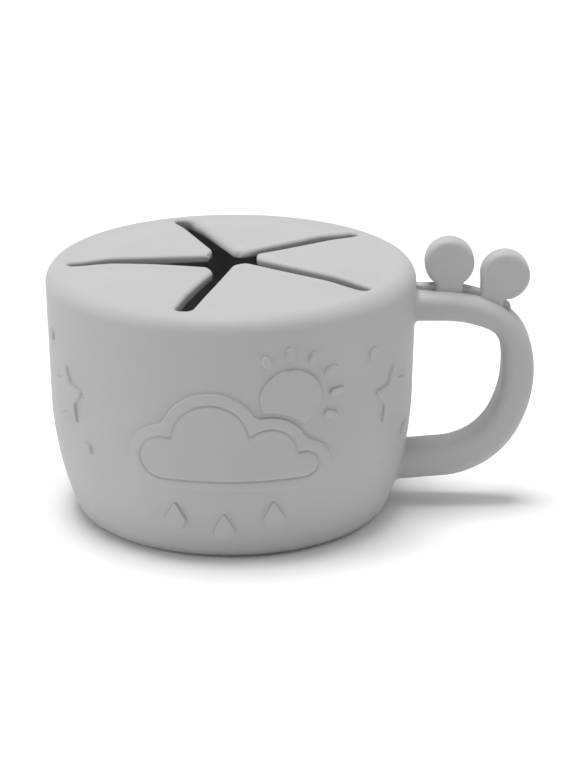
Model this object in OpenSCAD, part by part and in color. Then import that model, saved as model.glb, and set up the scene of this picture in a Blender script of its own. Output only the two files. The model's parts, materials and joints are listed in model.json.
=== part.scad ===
// Toddler snack cup: a soft one-handled cup with a pull-off lid whose star of slits opens to a small hand.
// Millimetres. +Z is up, the handle points along +X, and the origin is the centre of the flat base.

/* [Cup] */
// Outer radius at the rim, where the cup is widest
cup_r = 45; // [42:0.5:60]
// Height of the closed cup, base to lid
cup_h = 62; // [58:0.5:90]
// Draft of the wall, in degrees from upright
wall_draft = 1.3; // [0.5:0.1:3]
// Height where the straight wall begins to curve in towards the base
belly_h = 30; // [26:0.5:38]
// How far the flat base lies inside the rim, measured along the radius
base_inset = 10; // [8:0.5:14]
// Rounding where the side meets the base
base_round = 4.4; // [2:0.2:6]
// Thickness of the cup's wall
wall = 2.6; // [2:0.1:3.4]
// Thickness of the floor
floor_t = 3; // [2:0.1:5]
// Rounding inside, where the wall meets the floor
floor_round = 6; // [3:0.5:7]

/* [Lid] */
// Rounding of the lid's outer edge, which is also the height of the lid's side
edge_round = 4; // [3:0.25:6]
// Thickness of the lid's top and of its flaps
lid_t = 1.8; // [1.4:0.1:3.2]
// Depth of the plug ring below the lid's side
plug_depth = 5; // [4:0.5:8]
// Thickness of the plug ring
plug_wall = 2; // [1.4:0.1:2.4]
// Gap between the plug ring and the cup's wall
plug_gap = 0.8; // [0.6:0.1:1.2]
// Gap left between the seal bead and the cup's wall
bead_gap = 0.3; // [0.25:0.05:0.5]
// Height of the seal bead
bead_h = 2; // [1.5:0.25:3]

/* [Star opening] */
// Width of each slit
slit_w = 3; // [2:0.25:4]
// How far the slits end inside the lid's edge
slit_margin = 5.5; // [5:0.1:12]
// Radius of the hole where the slits meet
star_hole_r = 6.25; // [4:0.25:9]
// Turn of the star about the cup's axis, in degrees, so that a flap nearly faces the handle
star_turn = 2.5; // [0:0.5:71.5]
// Gap behind the rounded root of each flap
root_gap = 0.3; // [0.25:0.05:0.6]

/* [Handle] */
// Width of the handle across the cup
handle_w = 12; // [9:0.5:18]
// Thickness of the handle's bar where it leaves the rim
bar_top_t = 7.3; // [6:0.1:10]
// Thickness of the bar in its tight bend, outside the knobs
bar_bend_t = 6.1; // [6:0.1:10]
// Thickness of the bar at the outermost point
bar_side_t = 7.8; // [6:0.1:10]
// Thickness of the bar where it comes back to the wall
bar_foot_t = 8.2; // [6:0.1:11]
// Rounding of the bar's long edges
bar_round = 3; // [1:0.25:3]
// How far the middle of the top arm lies below the rim
arm_drop = 6.3; // [5.5:0.1:9]
// Straight reach of the top arm beyond the rim
arm_reach = 6.2; // [4:0.2:20]
// Radii of the four bends, from the top arm to the foot
bend_r = [30.3, 11.75, 29, 19];
// Turns of the four bends, in degrees
bend_turn = [22, 57, 38, 58];

/* [Thumb rail] */
// Width of the raised rail along the handle's top
rail_w = 3; // [2.4:0.2:6]
// Height of the rail above the bar
rail_h = 1.2; // [0.6:0.1:2]
// Radius of each thumb knob
knob_r = 6; // [4:0.1:7]
// Thickness of each thumb knob
knob_t = 5.6; // [4:0.1:8]
// Chamfer round the knobs' faces
knob_chamfer = 0.9; // [0.3:0.1:1.5]
// Width of the neck under each knob
neck_w = 7; // [4:0.2:9]
// Distance of the first knob's middle beyond the rim
knob_out = 8; // [7.4:0.1:12]
// Height of the first knob's middle above the rail
knob_lift = 5.6; // [3:0.1:7]
// Height of the second knob's middle above the rail
knob_lift_2 = 5.7; // [3:0.1:7]
// Turn that the bar has made where the second knob stands, in degrees
knob_turn = 22.5; // [22:0.5:40]
// Turn that the bar has made where the rail ends, in degrees
rail_turn = 40; // [36:4:64]

/* [Raised pictures] */
// Height of the raised pictures above the wall
relief_h = 0.7; // [0.3:0.1:1.2]
// Gap between the sun and the cloud in front of it
sun_gap = 1.3; // [0.6:0.1:2]
// Radius of the sun
sun_r = 7; // [4:0.5:9]
// Length of each sun ray
ray_l = 3.4; // [2:0.2:5]
// Size of each raindrop, its round part's radius
drop_r = 2.4; // [1.5:0.1:3.5]
// Tip radius of the stars at the sides
star_r = 8; // [5:0.5:10]

/* [Hidden] */
silicone = [0.73, 0.74, 0.735];
silicone_lid = [0.78, 0.79, 0.785];
cup_facets = 180;
small_facets = 48;
through = 1;

// Levels and radii that several pieces share
seam_z = cup_h - edge_round;
base_r = cup_r - base_inset;
rim_in_r = cup_r - wall;
wall_out = [cos(wall_draft), -sin(wall_draft)];
floor_inset = 2;
side_steps = 12;
round_steps = 4;

// The side of the cup is a drafted line, then two arcs that run smoothly into each other and into the base.
function line_r(z) = cup_r - (seam_z - z) * tan(wall_draft);
function big_r(p, c, r) = ((p - c) * (p - c) - r * r) / (2 * ((p - c) * wall_out - r));
function on_arc(c, r, t) = c + r * [cos(t), -sin(t)];
function side_arcs(p, c, r) =
    let (big = big_r(p, c, r), o = p - big * wall_out, meet = atan2(o.y - c.y, c.x - o.x))
    concat(
        [for (i = [0:side_steps]) on_arc(o, big, wall_draft + (meet - wall_draft) * i / side_steps)],
        [for (i = [1:round_steps]) on_arc(c, r, meet + (90 - meet) * i / round_steps)]);

belly = [line_r(belly_h), belly_h];
base_corner = [base_r, base_round];
floor_corner = [base_r - floor_inset, floor_t + floor_round];

// The solid of the cup's outside, grown by g along its surface
module outside(g = 0) {
    rotate_extrude($fn = cup_facets)
        polygon(concat(
            [[0, seam_z], [cup_r + g / wall_out.x, seam_z]],
            side_arcs(belly + g * wall_out, base_corner, base_round + g),
            [[0, -g]]));
}

module cavity() {
    rotate_extrude($fn = cup_facets)
        polygon(concat(
            [[0, seam_z + through], [rim_in_r, seam_z + through], [rim_in_r, seam_z]],
            side_arcs(belly - wall * wall_out, floor_corner, floor_round),
            [[0, floor_t]]));
}

// Raised pictures: flat outlines, x across and y up, pressed straight onto the wall
cloud_base = 19.5;
cloud_lobes = [[-15, 27.5, 8], [-4, 32.5, 11.5], [9.5, 28.8, 9], [17.5, 25.5, 6]];
sun_at = [14.5, 42];
ray_turns = [-30, 0, 30, 60, 90, 120];
ray_w = 1.8;
ray_space = 2;
drops_at = [[-12.5, 11], [-1, 8.5], [10.5, 11.5]];
drop_tip = 2.1;
star_turns = [-60, 60, 122, -122];
star_high = 36;
star_waist = 0.5;
dot_r = 1.5;
dots_at = [[-8.5, 48.5], [8, 24.5]];
skin_under = 1;

module cloud(grow = 0) {
    for (l = cloud_lobes)
        translate([l[0], l[1]])
            circle(r = l[2] + grow, $fn = small_facets);
    first = cloud_lobes[0];
    last = cloud_lobes[3];
    translate([first[0], cloud_base - grow])
        square([last[0] - first[0], first[1] - cloud_base + grow]);
}

module sun() {
    difference() {
        translate(sun_at)
            circle(r = sun_r, $fn = small_facets);
        cloud(sun_gap);
    }
    for (a = ray_turns)
        translate(sun_at)
            rotate(a)
                translate([sun_r + ray_space, -ray_w / 2])
                    square([ray_l, ray_w]);
}

module raindrop() {
    circle(r = drop_r, $fn = small_facets);
    lean = acos(1 / drop_tip);
    polygon([[0, drop_tip * drop_r], drop_r * [sin(lean), cos(lean)], drop_r * [-sin(lean), cos(lean)]]);
}

module star_and_dots() {
    translate([0, star_high])
        polygon([for (i = [0:9]) star_r * (i % 2 == 0 ? 1 : star_waist) * [sin(36 * i), cos(36 * i)]]);
    for (d = dots_at)
        translate(d)
            circle(r = dot_r, $fn = small_facets);
}

// Presses a flat outline onto the wall; turn 0 is the front, which faces -Y.
module press(turn = 0) {
    intersection() {
        rotate([0, 0, turn])
            rotate([90, 0, 0])
                linear_extrude(cup_r + 2 * relief_h)
                    children();
        difference() {
            outside(relief_h);
            outside(-skin_under);
        }
    }
}

module cup_shell() {
    color(silicone) {
        difference() {
            outside();
            cavity();
        }
        press() cloud();
        press() sun();
        press()
            for (d = drops_at)
                translate(d)
                    raindrop();
        for (t = star_turns)
            press(t) star_and_dots();
    }
}

// Handle: a rounded bar swept along a straight arm, four bends and a straight foot.
arm_z = seam_z - arm_drop;
root_depth = wall + 1;
arm_start = [cup_r - root_depth, arm_z];
arm_end = [cup_r + arm_reach, arm_z];
bend_step = 4;

function heading(a) = [cos(a), -sin(a)];
function outward(a) = [sin(a), cos(a)];
function bend_points(p, a, r, turn) =
    let (o = p - r * outward(a), n = round(turn / bend_step))
    [for (i = [1:n]) let (b = a + turn * i / n) [o + r * outward(b), b]];
function last_of(v) = v[len(v) - 1];

bend_1 = bend_points(arm_end, 0, bend_r[0], bend_turn[0]);
bend_2 = bend_points(last_of(bend_1)[0], last_of(bend_1)[1], bend_r[1], bend_turn[1]);
bend_3 = bend_points(last_of(bend_2)[0], last_of(bend_2)[1], bend_r[2], bend_turn[2]);
bend_4 = bend_points(last_of(bend_3)[0], last_of(bend_3)[1], bend_r[3], bend_turn[3]);
foot_turn = last_of(bend_4)[1];
foot_from = last_of(bend_4)[0];
foot_l = (foot_from.x - (line_r(foot_from.y) - 2 * root_depth)) / -cos(foot_turn);
route = concat(
    [[arm_start, 0], [arm_end, 0]], bend_1, bend_2, bend_3, bend_4,
    [[foot_from + foot_l * heading(foot_turn), foot_turn]]);

// The bar's thickness changes steadily with the turn it has made.
tight_turn = 45;
side_turn = 90;
function bar_t(a) =
    a < tight_turn ? bar_top_t + (bar_bend_t - bar_top_t) * a / tight_turn
    : a < side_turn ? bar_bend_t + (bar_side_t - bar_bend_t) * (a - tight_turn) / (side_turn - tight_turn)
    : bar_side_t + (bar_foot_t - bar_side_t) * (a - side_turn) / (foot_turn - side_turn);

corner_steps = 4;
flat_least = 0.05;
function bar_edge(t) = min(bar_round, t / 2 - flat_least);
function bar_section(t) = [
    for (q = [0:3], i = [0:corner_steps])
        let (a = 90 * q + 90 * i / corner_steps,
             sx = (q == 0 || q == 3) ? 1 : -1,
             sy = q < 2 ? 1 : -1,
             r = bar_edge(t))
        [sx * (t / 2 - r) + r * cos(a), sy * (handle_w / 2 - r) + r * sin(a)]];

module bar() {
    n = len(bar_section(bar_top_t));
    rings = len(route);
    points = [
        for (s = route, c = bar_section(bar_t(s[1])))
            let (p = s[0] + c.x * outward(s[1]))
            [p.x, c.y, p.y]];
    sides = [
        for (k = [0:rings - 2], j = [0:n - 1])
            let (a = k * n + j, b = k * n + (j + 1) % n)
            each [[a, b + n, b], [a, a + n, b + n]]];
    ends = [[for (j = [0:n - 1]) j], [for (j = [n - 1:-1:0]) (rings - 1) * n + j]];
    polyhedron(points, concat(sides, ends));
}

module handle_loop() {
    color(silicone)
        difference() {
            bar();
            outside();
        }
}

// Thumb rail: a rib along the handle's top with two round knobs standing on it
rail_route = [for (s = route) if (s[1] <= rail_turn) s];
rail_under = [for (s = rail_route) s[0] + bar_t(s[1]) / 2 * outward(s[1])];
rail_over = [for (i = [len(rail_route) - 1:-1:0]) rail_under[i] + rail_h * outward(rail_route[i][1])];
rail_deep = [for (i = [len(rail_route) - 1:-1:0]) rail_under[i] - bar_side_t / 2 * outward(rail_route[i][1])];
bend_2_middle = last_of(bend_1)[0] - bend_r[1] * outward(bend_turn[0]);
knob_1 = [cup_r + knob_out, arm_z + bar_top_t / 2 + rail_h + knob_lift];
knob_2 = bend_2_middle + (bend_r[1] + bar_t(knob_turn) / 2 + rail_h + knob_lift_2) * outward(knob_turn);

neck_sink = 1;

module knob(at, turn) {
    face_r = knob_r - knob_chamfer;
    half_t = knob_t / 2;
    translate([at.x, 0, at.y])
        rotate([90, turn, 0]) {
            rotate_extrude($fn = cup_facets / 2)
                polygon([
                    [0, -half_t], [face_r, -half_t], [knob_r, knob_chamfer - half_t],
                    [knob_r, half_t - knob_chamfer], [face_r, half_t], [0, half_t]]);
        }
}

// The neck is as thick as the knob. It reaches from the knob's middle down past the bar's top, which bends away.
module neck(at, turn, lift) {
    foot = lift + rail_h + neck_sink;
    translate([at.x, 0, at.y])
        rotate([0, turn, 0])
            translate([-neck_w / 2, -knob_t / 2, -foot])
                cube([neck_w, knob_t, foot]);
}

module thumb_rail() {
    color(silicone)
        difference() {
            union() {
                rotate([90, 0, 0])
                    linear_extrude(rail_w, center = true)
                        polygon(concat(rail_under, rail_over));
                knob(knob_1, 0);
                neck(knob_1, 0, knob_lift);
                knob(knob_2, knob_turn);
                neck(knob_2, knob_turn, knob_lift_2);
            }
            rotate([90, 0, 0])
                linear_extrude(handle_w, center = true)
                    polygon(concat(rail_under, rail_deep));
            outside();
        }
}

// Lid: a ring with a rounded shoulder, a plug that drops into the cup, and a five-sided opening
plug_foot = seam_z - plug_depth;
plug_out_r = rim_in_r - plug_gap;
plug_in_r = plug_out_r - plug_wall;
bead_r = rim_in_r - plug_depth * tan(wall_draft) - bead_gap;
bead_rise = 0.6;
shoulder_steps = 8;
flaps = 5;
half_flap = 180 / flaps;
slit_reach = cup_r - slit_margin;
opening_r = slit_reach + slit_w / (2 * tan(90 - half_flap));
root_r = lid_t / 2;
root_at = opening_r * cos(half_flap) - root_gap - root_r;
root_half_l = root_at * tan(half_flap) - slit_w / (2 * cos(half_flap));
knuckle_r = root_r - 0.05;

module lid_ring() {
    color(silicone_lid)
        difference() {
            rotate_extrude($fn = cup_facets)
                polygon(concat(
                    [[plug_in_r, plug_foot], [plug_out_r, plug_foot], [plug_out_r, plug_foot + bead_rise],
                     [bead_r, plug_foot + 2 * bead_rise], [bead_r, plug_foot + bead_h],
                     [plug_out_r, plug_foot + bead_h + bead_rise], [plug_out_r, seam_z]],
                    [for (i = [0:shoulder_steps])
                        let (a = 90 * i / shoulder_steps)
                        [cup_r - edge_round + edge_round * cos(a), seam_z + edge_round * sin(a)]],
                    [[0, cup_h], [0, cup_h - lid_t], [plug_in_r, cup_h - lid_t]]));
            translate([0, 0, cup_h - lid_t - through])
                linear_extrude(lid_t + 2 * through)
                    intersection() {
                        rotate(star_turn + half_flap)
                            circle(r = opening_r, $fn = flaps);
                        circle(r = slit_reach, $fn = cup_facets);
                    }
        }
}

// One flap, with its rounded root along the edge of the opening and its tip near the cup's axis
module flap(i) {
    color(silicone_lid)
        rotate([0, 0, star_turn + 2 * half_flap * (i - 1)]) {
            translate([0, 0, cup_h - lid_t])
                linear_extrude(lid_t)
                    difference() {
                        polygon([
                            [slit_w / (2 * sin(half_flap)), 0],
                            [root_at, -root_half_l],
                            [root_at, root_half_l]]);
                        circle(r = star_hole_r, $fn = small_facets);
                    }
            translate([root_at, root_half_l, cup_h - root_r])
                rotate([90, 0, 0])
                    cylinder(r = knuckle_r, h = 2 * root_half_l, $fn = small_facets);
        }
}

cup_shell();
handle_loop();
thumb_rail();
lid_ring();
flap(1);  // flap_1
flap(2);  // flap_2
flap(3);  // flap_3
flap(4);  // flap_4
flap(5);  // flap_5
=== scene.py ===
"""Toddler snack cup: its visible surfaces, silicone finish, studio and camera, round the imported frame.

Lengths are millimetres and turns are degrees, unless a name says otherwise; meshes are written in metres.
+Z is up, the handle points along +X, and the raised cloud faces -Y. What the frame holds is read from it.
"""

import json
import logging
import math
from dataclasses import dataclass
from enum import Enum
from functools import partial, reduce
from typing import Callable, Protocol, Sequence

import bpy
import numpy as np
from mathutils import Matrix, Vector


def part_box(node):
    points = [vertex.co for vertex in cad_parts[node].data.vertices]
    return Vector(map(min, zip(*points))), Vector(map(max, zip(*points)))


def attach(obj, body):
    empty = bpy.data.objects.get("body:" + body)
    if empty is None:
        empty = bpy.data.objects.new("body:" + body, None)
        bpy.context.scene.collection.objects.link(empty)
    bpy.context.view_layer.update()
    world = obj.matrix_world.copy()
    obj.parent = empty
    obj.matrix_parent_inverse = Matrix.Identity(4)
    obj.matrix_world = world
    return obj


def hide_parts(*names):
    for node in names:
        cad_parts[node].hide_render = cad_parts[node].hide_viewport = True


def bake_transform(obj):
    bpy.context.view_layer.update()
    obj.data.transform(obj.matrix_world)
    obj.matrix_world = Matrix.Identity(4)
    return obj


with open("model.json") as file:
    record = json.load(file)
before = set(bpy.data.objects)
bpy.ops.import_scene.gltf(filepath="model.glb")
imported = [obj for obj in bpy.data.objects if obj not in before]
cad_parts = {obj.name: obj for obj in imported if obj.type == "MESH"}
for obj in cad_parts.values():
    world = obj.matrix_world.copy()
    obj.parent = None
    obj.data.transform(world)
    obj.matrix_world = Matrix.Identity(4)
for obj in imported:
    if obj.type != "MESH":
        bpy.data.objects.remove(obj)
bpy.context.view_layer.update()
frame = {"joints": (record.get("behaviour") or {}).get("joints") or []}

# One millimetre, in metres
MM = 0.001
# Edges that turn by more degrees than this stay sharp
SHARP_TURN = 32.0
# Halvings that bring a search over some centimetres below a nanometre
HALVINGS = 36
log = logging.getLogger("snack_cup")


class Body(str, Enum):
    """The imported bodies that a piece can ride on, apart from the five flaps, which are numbered."""

    CUP = "cup"
    LID = "lid"


class Slot(str, Enum):
    """The record's material slots."""

    CUP = "cup_silicone"
    LID = "lid_silicone"


class Cap(Enum):
    """How the flat top of a raised picture is finished."""

    PLAIN = "plain"
    GROOVED = "grooved"


# Meshes from grids of points


@dataclass(frozen=True)
class Surface:
    """A closed surface: points as an (n, 3) array in millimetres, and blocks of faces that index them."""

    points: np.ndarray
    faces: tuple[np.ndarray, ...]

    def add_to_scene(self, name: str, material: bpy.types.Material) -> bpy.types.Object:
        """Makes the mesh object, smooth shaded with its true edges kept sharp.

        Args:
            name: the object's name.
            material: the finish it wears.

        Returns:
            The new object, at the origin.
        """
        mesh = bpy.data.meshes.new(name)
        mesh.from_pydata((self.points * MM).tolist(), [], [f for block in self.faces for f in block.tolist()])
        mesh.shade_smooth()
        mesh.set_sharp_from_angle(angle=math.radians(SHARP_TURN))
        mesh.materials.append(material)
        piece = bpy.data.objects.new(name, mesh)
        bpy.context.scene.collection.objects.link(piece)
        return piece


def ring_quads(rows: int, columns: int, close_rows: bool = False) -> np.ndarray:
    """Faces of a grid whose columns close on themselves.

    The face (i, j), (i, j+1), (i+1, j+1), (i+1, j) faces outwards where columns x rows points outwards.

    Args:
        rows: number of rows.
        columns: number of columns.
        close_rows: whether the last row joins the first.

    Returns:
        An (n, 4) array of point indices.
    """
    i = np.arange(rows if close_rows else rows - 1)[:, None]
    j = np.arange(columns)[None, :]
    low, high, right = i * columns, (i + 1) % rows * columns, (j + 1) % columns
    return np.stack([low + j, low + right, high + right, high + j], axis=-1).reshape(-1, 4)


def closed_tube(rings: np.ndarray, first_pole: np.ndarray, last_pole: np.ndarray) -> Surface:
    """A stack of rings, closed by a fan of triangles to a pole at either end.

    Args:
        rings: a (rows, columns, 3) grid whose columns close on themselves.
        first_pole: the point that closes the first ring.
        last_pole: the point that closes the last ring.

    Returns:
        The closed surface.
    """
    rows, columns = rings.shape[:2]
    j = np.arange(columns)
    right = (j + 1) % columns
    last = (rows - 1) * columns
    pole_a, pole_b = np.full(columns, rows * columns), np.full(columns, rows * columns + 1)
    points = np.concatenate([rings.reshape(-1, 3), [first_pole], [last_pole]])
    first_fan = np.stack([pole_a, right, j], axis=-1)
    last_fan = np.stack([last + j, last + right, pole_b], axis=-1)
    return Surface(points, (ring_quads(rows, columns), first_fan, last_fan))


def closed_ring(rings: np.ndarray) -> Surface:
    """A (rows, columns, 3) grid that closes on itself both ways."""
    return Surface(rings.reshape(-1, 3), (ring_quads(rings.shape[0], rings.shape[1], close_rows=True),))


def closed_slab(top: np.ndarray, bottom: np.ndarray) -> Surface:
    """Two grids with the same layout, one over the other, joined all round their edges.

    Args:
        top: a (rows, columns, 3) grid whose rows run outwards and whose columns run anticlockwise from above.
        bottom: the grid below it.

    Returns:
        The closed surface.
    """
    rows, columns = top.shape[:2]
    index = np.arange(rows * columns).reshape(rows, columns)
    drop = rows * columns
    corners = (index[:-1, :-1], index[1:, :-1], index[1:, 1:], index[:-1, 1:])
    over_faces = np.stack(corners, axis=-1).reshape(-1, 4)
    under_faces = over_faces[:, ::-1] + drop
    rim = np.concatenate([index[0, :-1], index[:-1, -1], index[-1, :0:-1], index[:0:-1, 0]])
    following = np.roll(rim, -1)
    sides = np.stack([rim, following, following + drop, rim + drop], axis=-1)
    points = np.concatenate([top.reshape(-1, 3), bottom.reshape(-1, 3)])
    return Surface(points, (over_faces, under_faces, sides))


def closed_plate(rings: np.ndarray) -> Surface:
    """A stack of rings from the front of a plate to its back, with a flat face at either end.

    Args:
        rings: a (rows, columns, 3) grid whose columns close on themselves.

    Returns:
        The closed surface.
    """
    rows, columns = rings.shape[:2]
    front = np.arange(columns)[None, ::-1]
    back = np.arange((rows - 1) * columns, rows * columns)[None, :]
    return Surface(rings.reshape(-1, 3), (ring_quads(rows, columns), front, back))


# Curves in a plane


def arc(centre: tuple[float, float], radius: float, start: float, stop: float, steps: int) -> np.ndarray:
    """Points on a circle from angle start to angle stop.

    Args:
        centre: the circle's middle.
        radius: its radius.
        start: first angle, in degrees.
        stop: last angle, in degrees.
        steps: steps between them.

    Returns:
        A (steps + 1, 2) array.
    """
    angle = np.radians(np.linspace(start, stop, steps + 1))
    return np.array(centre) + radius * np.stack([np.cos(angle), np.sin(angle)], axis=-1)


def bearing(way: np.ndarray) -> float:
    """Angle of a vector in the plane, in degrees."""
    return math.degrees(math.atan2(way[1], way[0]))


def round_corner(
        before: np.ndarray, corner: np.ndarray, after: np.ndarray, radius: float, steps: int) -> np.ndarray:
    """The arc that rounds one corner of a polygon, tangent to both of its sides.

    With a and b the unit vectors to the neighbours and p the angle between them, the arc's centre lies
    radius / sin(p/2) from the corner along a + b, and its points turn steadily from one side to the other.

    Args:
        before: the corner before it.
        corner: the corner to round.
        after: the corner after it.
        radius: the arc's radius.
        steps: steps along the arc.

    Returns:
        A (steps + 1, 2) array, or the corner alone where the radius is 0.
    """
    if radius == 0:
        return corner[None, :]
    a = (before - corner) / np.linalg.norm(before - corner)
    b = (after - corner) / np.linalg.norm(after - corner)
    half = math.acos(float(a @ b)) / 2
    middle = (a + b) / np.linalg.norm(a + b)
    centre = corner + middle * radius / math.sin(half)
    reach = radius / math.tan(half)
    start, stop = (corner + a * reach - centre) / radius, (corner + b * reach - centre) / radius
    sweep = math.pi - 2 * half
    t = np.linspace(0, 1, steps + 1)[:, None]
    return centre + radius * (np.sin((1 - t) * sweep) * start + np.sin(t * sweep) * stop) / math.sin(sweep)


def rounded_polygon(corners: list[tuple[float, float, float, int]]) -> np.ndarray:
    """A closed outline, each of whose corners is rounded with its own radius.

    Args:
        corners: its corners, each as (x, y, radius, steps).

    Returns:
        An (n, 2) array.
    """
    at = np.array([c[:2] for c in corners])
    before, after = np.roll(at, 1, axis=0), np.roll(at, -1, axis=0)
    return np.concatenate([
        round_corner(before[i], at[i], after[i], radius, steps)
        for i, (_, _, radius, steps) in enumerate(corners)])


def revolved(profile: np.ndarray, columns: int) -> np.ndarray:
    """A surface of revolution about Z: each point (r, z) goes to (r cos a, r sin a, z) at every angle a.

    Args:
        profile: an (n, 2) outline of radius and height.
        columns: number of angles.

    Returns:
        An (n, columns, 3) grid.
    """
    angle = np.linspace(0, 2 * math.pi, columns, endpoint=False)
    return polar(profile[:, 0:1], angle, np.broadcast_to(profile[:, 1:2], (len(profile), columns)))


def polar(radius: np.ndarray, angle: np.ndarray, z: np.ndarray) -> np.ndarray:
    """Points at a radius and an angle round Z, in radians, and at height z."""
    return np.stack([radius * np.cos(angle), radius * np.sin(angle), z], axis=-1)


def turned(points: np.ndarray, turn: float) -> np.ndarray:
    """Points turned about Z.

    Args:
        points: an array of points, in any layout.
        turn: the turn, in degrees.

    Returns:
        The turned points.
    """
    c, s = math.cos(math.radians(turn)), math.sin(math.radians(turn))
    return points @ np.array([[c, s, 0], [-s, c, 0], [0, 0, 1]])


def soft_min(a: np.ndarray, b: np.ndarray, k: float) -> np.ndarray:
    """The lesser of a and b, less (k - |a - b|)^2 / 4k where they differ by less than the width k."""
    near = np.maximum(k - np.abs(a - b), 0) / k
    return np.minimum(a, b) - near * near * k / 4


def soft_max(a: np.ndarray, b: np.ndarray, k: float) -> np.ndarray:
    """The greater of a and b, with the corner between them blended over a width k."""
    return -soft_min(-a, -b, k)


def smooth_step(t: np.ndarray) -> np.ndarray:
    """0 below 0, 1 above 1 and a smooth rise between."""
    t = np.clip(t, 0, 1)
    return t * t * (3 - 2 * t)


def between(pair: tuple[float, float], share: np.ndarray) -> np.ndarray:
    """The first of a pair where share is 0, the second where it is 1, and a mix of both between."""
    return pair[0] * (1 - share) + pair[1] * share


def rounded_edge(inset: np.ndarray, depth: np.ndarray | float, width: np.ndarray | float) -> np.ndarray:
    """The fall of a surface towards its edge, as a quarter of an ellipse: e (1 - sqrt(1 - (1 - d/w)^2)).

    Args:
        inset: distance in from the edge, the d of the formula.
        depth: the fall at the edge itself, its e.
        width: the distance over which the surface falls, its w.

    Returns:
        The fall at each point.
    """
    return depth * (1 - np.sqrt(1 - np.maximum(1 - inset / width, 0) ** 2))


def quarter(steps: int) -> np.ndarray:
    """Angles of a quarter turn, in radians."""
    return np.linspace(0, math.pi / 2, steps + 1)


def bisect(inside: Callable[[np.ndarray], np.ndarray], reach: float, shape: tuple[int, ...]) -> np.ndarray:
    """The distance at which inside() turns false along many rays at once, by halving the interval 0 to reach.

    Args:
        inside: whether each ray is still inside at a distance along it.
        reach: a distance at which every ray is outside.
        shape: shape of the array of rays.

    Returns:
        The distances, in an array of that shape.
    """
    near, far = np.zeros(shape), np.full(shape, float(reach))
    for _ in range(HALVINGS):
        middle = (near + far) / 2
        held = inside(middle)
        near, far = np.where(held, middle, near), np.where(held, far, middle)
    return (near + far) / 2


# The cup's side


@dataclass(frozen=True)
class SideCurve:
    """One face of the cup's wall in section: a drafted line, a long arc, then a short arc.

    The long arc leaves the line at `belly` (radius, height) without a kink and runs into the short arc, whose
    centre is `corner`. With v from corner to belly, n the line's outward normal and s the short arc's radius,
    the long arc's radius is (v.v - s*s) / (2 (v.n - s)).
    """

    belly: tuple[float, float]
    corner: tuple[float, float]
    corner_round: float
    draft: float

    @property
    def normal(self) -> np.ndarray:
        """Outward normal of the drafted line."""
        return np.array([math.cos(math.radians(self.draft)), -math.sin(math.radians(self.draft))])

    @property
    def long_round(self) -> float:
        """Radius of the long arc."""
        v = np.array(self.belly) - np.array(self.corner)
        return float((v @ v - self.corner_round**2) / (2 * (v @ self.normal - self.corner_round)))

    @property
    def long_centre(self) -> np.ndarray:
        """Centre of the long arc."""
        return np.array(self.belly) - self.long_round * self.normal

    @property
    def meeting(self) -> float:
        """Angle below horizontal, in degrees, at which the two arcs meet."""
        gap = self.long_centre - np.array(self.corner)
        return math.degrees(math.atan2(gap[1], -gap[0]))

    def parts(self, z: np.ndarray) -> tuple[np.ndarray, np.ndarray]:
        """The side at given heights.

        Args:
            z: the heights.

        Returns:
            Its radius, and how far its normal leans below horizontal, in radians.
        """
        big, small, o, c = self.long_round, self.corner_round, self.long_centre, np.array(self.corner)
        meet_z = o[1] - big * math.sin(math.radians(self.meeting))
        line = self.belly[0] + (z - self.belly[1]) * math.tan(math.radians(self.draft))
        long_sine = np.clip((o[1] - z) / big, -1, 1)
        short_sine = np.clip((c[1] - z) / small, -1, 1)
        long_arc = o[0] + big * np.sqrt(1 - long_sine**2)
        short_arc = c[0] + small * np.sqrt(1 - short_sine**2)
        radius = np.where(z > self.belly[1], line, np.where(z > meet_z, long_arc, short_arc))
        lean = np.where(
            z > self.belly[1], math.radians(self.draft),
            np.where(z > meet_z, np.arcsin(long_sine), np.arcsin(short_sine)))
        return radius, lean

    def section(self, top_z: float, line_steps: int, long_steps: int, short_steps: int) -> np.ndarray:
        """Points of the side from its bottom up.

        Args:
            top_z: height at which it ends.
            line_steps: steps along the drafted line.
            long_steps: steps along the long arc.
            short_steps: steps along the short arc.

        Returns:
            An (n, 2) array of radius and height.
        """
        short = arc(self.corner, self.corner_round, -90, -self.meeting, short_steps)
        long = arc(tuple(self.long_centre), self.long_round, -self.meeting, -self.draft, long_steps)
        z = np.linspace(self.belly[1], top_z, line_steps + 1)
        line = np.stack([self.parts(z + 1e-9)[0], z], axis=-1)
        return np.concatenate([short, long[1:], line[1:]])

    def pressed(self, x: np.ndarray, z: np.ndarray, height: np.ndarray, turn: float) -> np.ndarray:
        """Carries flat points onto the side, straight back from the front, and lifts them along its normal.

        Args:
            x: places across, from the middle of the picture.
            z: places up, from the base.
            height: lift above the side.
            turn: the picture's place round the cup, where 0 faces -Y.

        Returns:
            An array of points with one more axis than x.
        """
        radius, lean = self.parts(z)
        y = -np.sqrt(np.maximum(radius**2 - x**2, 0))
        level = height * np.cos(lean) / radius
        points = np.stack([x * (1 + level), y * (1 + level), z - height * np.sin(lean)], axis=-1)
        return turned(points, turn)


# Raised pictures


class Picture(Protocol):
    """A flat picture in x and z, seen from the front, with `columns` points round its outline."""

    centre: tuple[float, float]
    columns: int

    def distance(self, x: np.ndarray, z: np.ndarray) -> np.ndarray:
        """Distance to the picture's outline.

        Args:
            x: places across, from the middle of the picture's side of the cup.
            z: places up, from the base.

        Returns:
            The distances, negative inside the outline, in an array of the same shape.
        """


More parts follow.
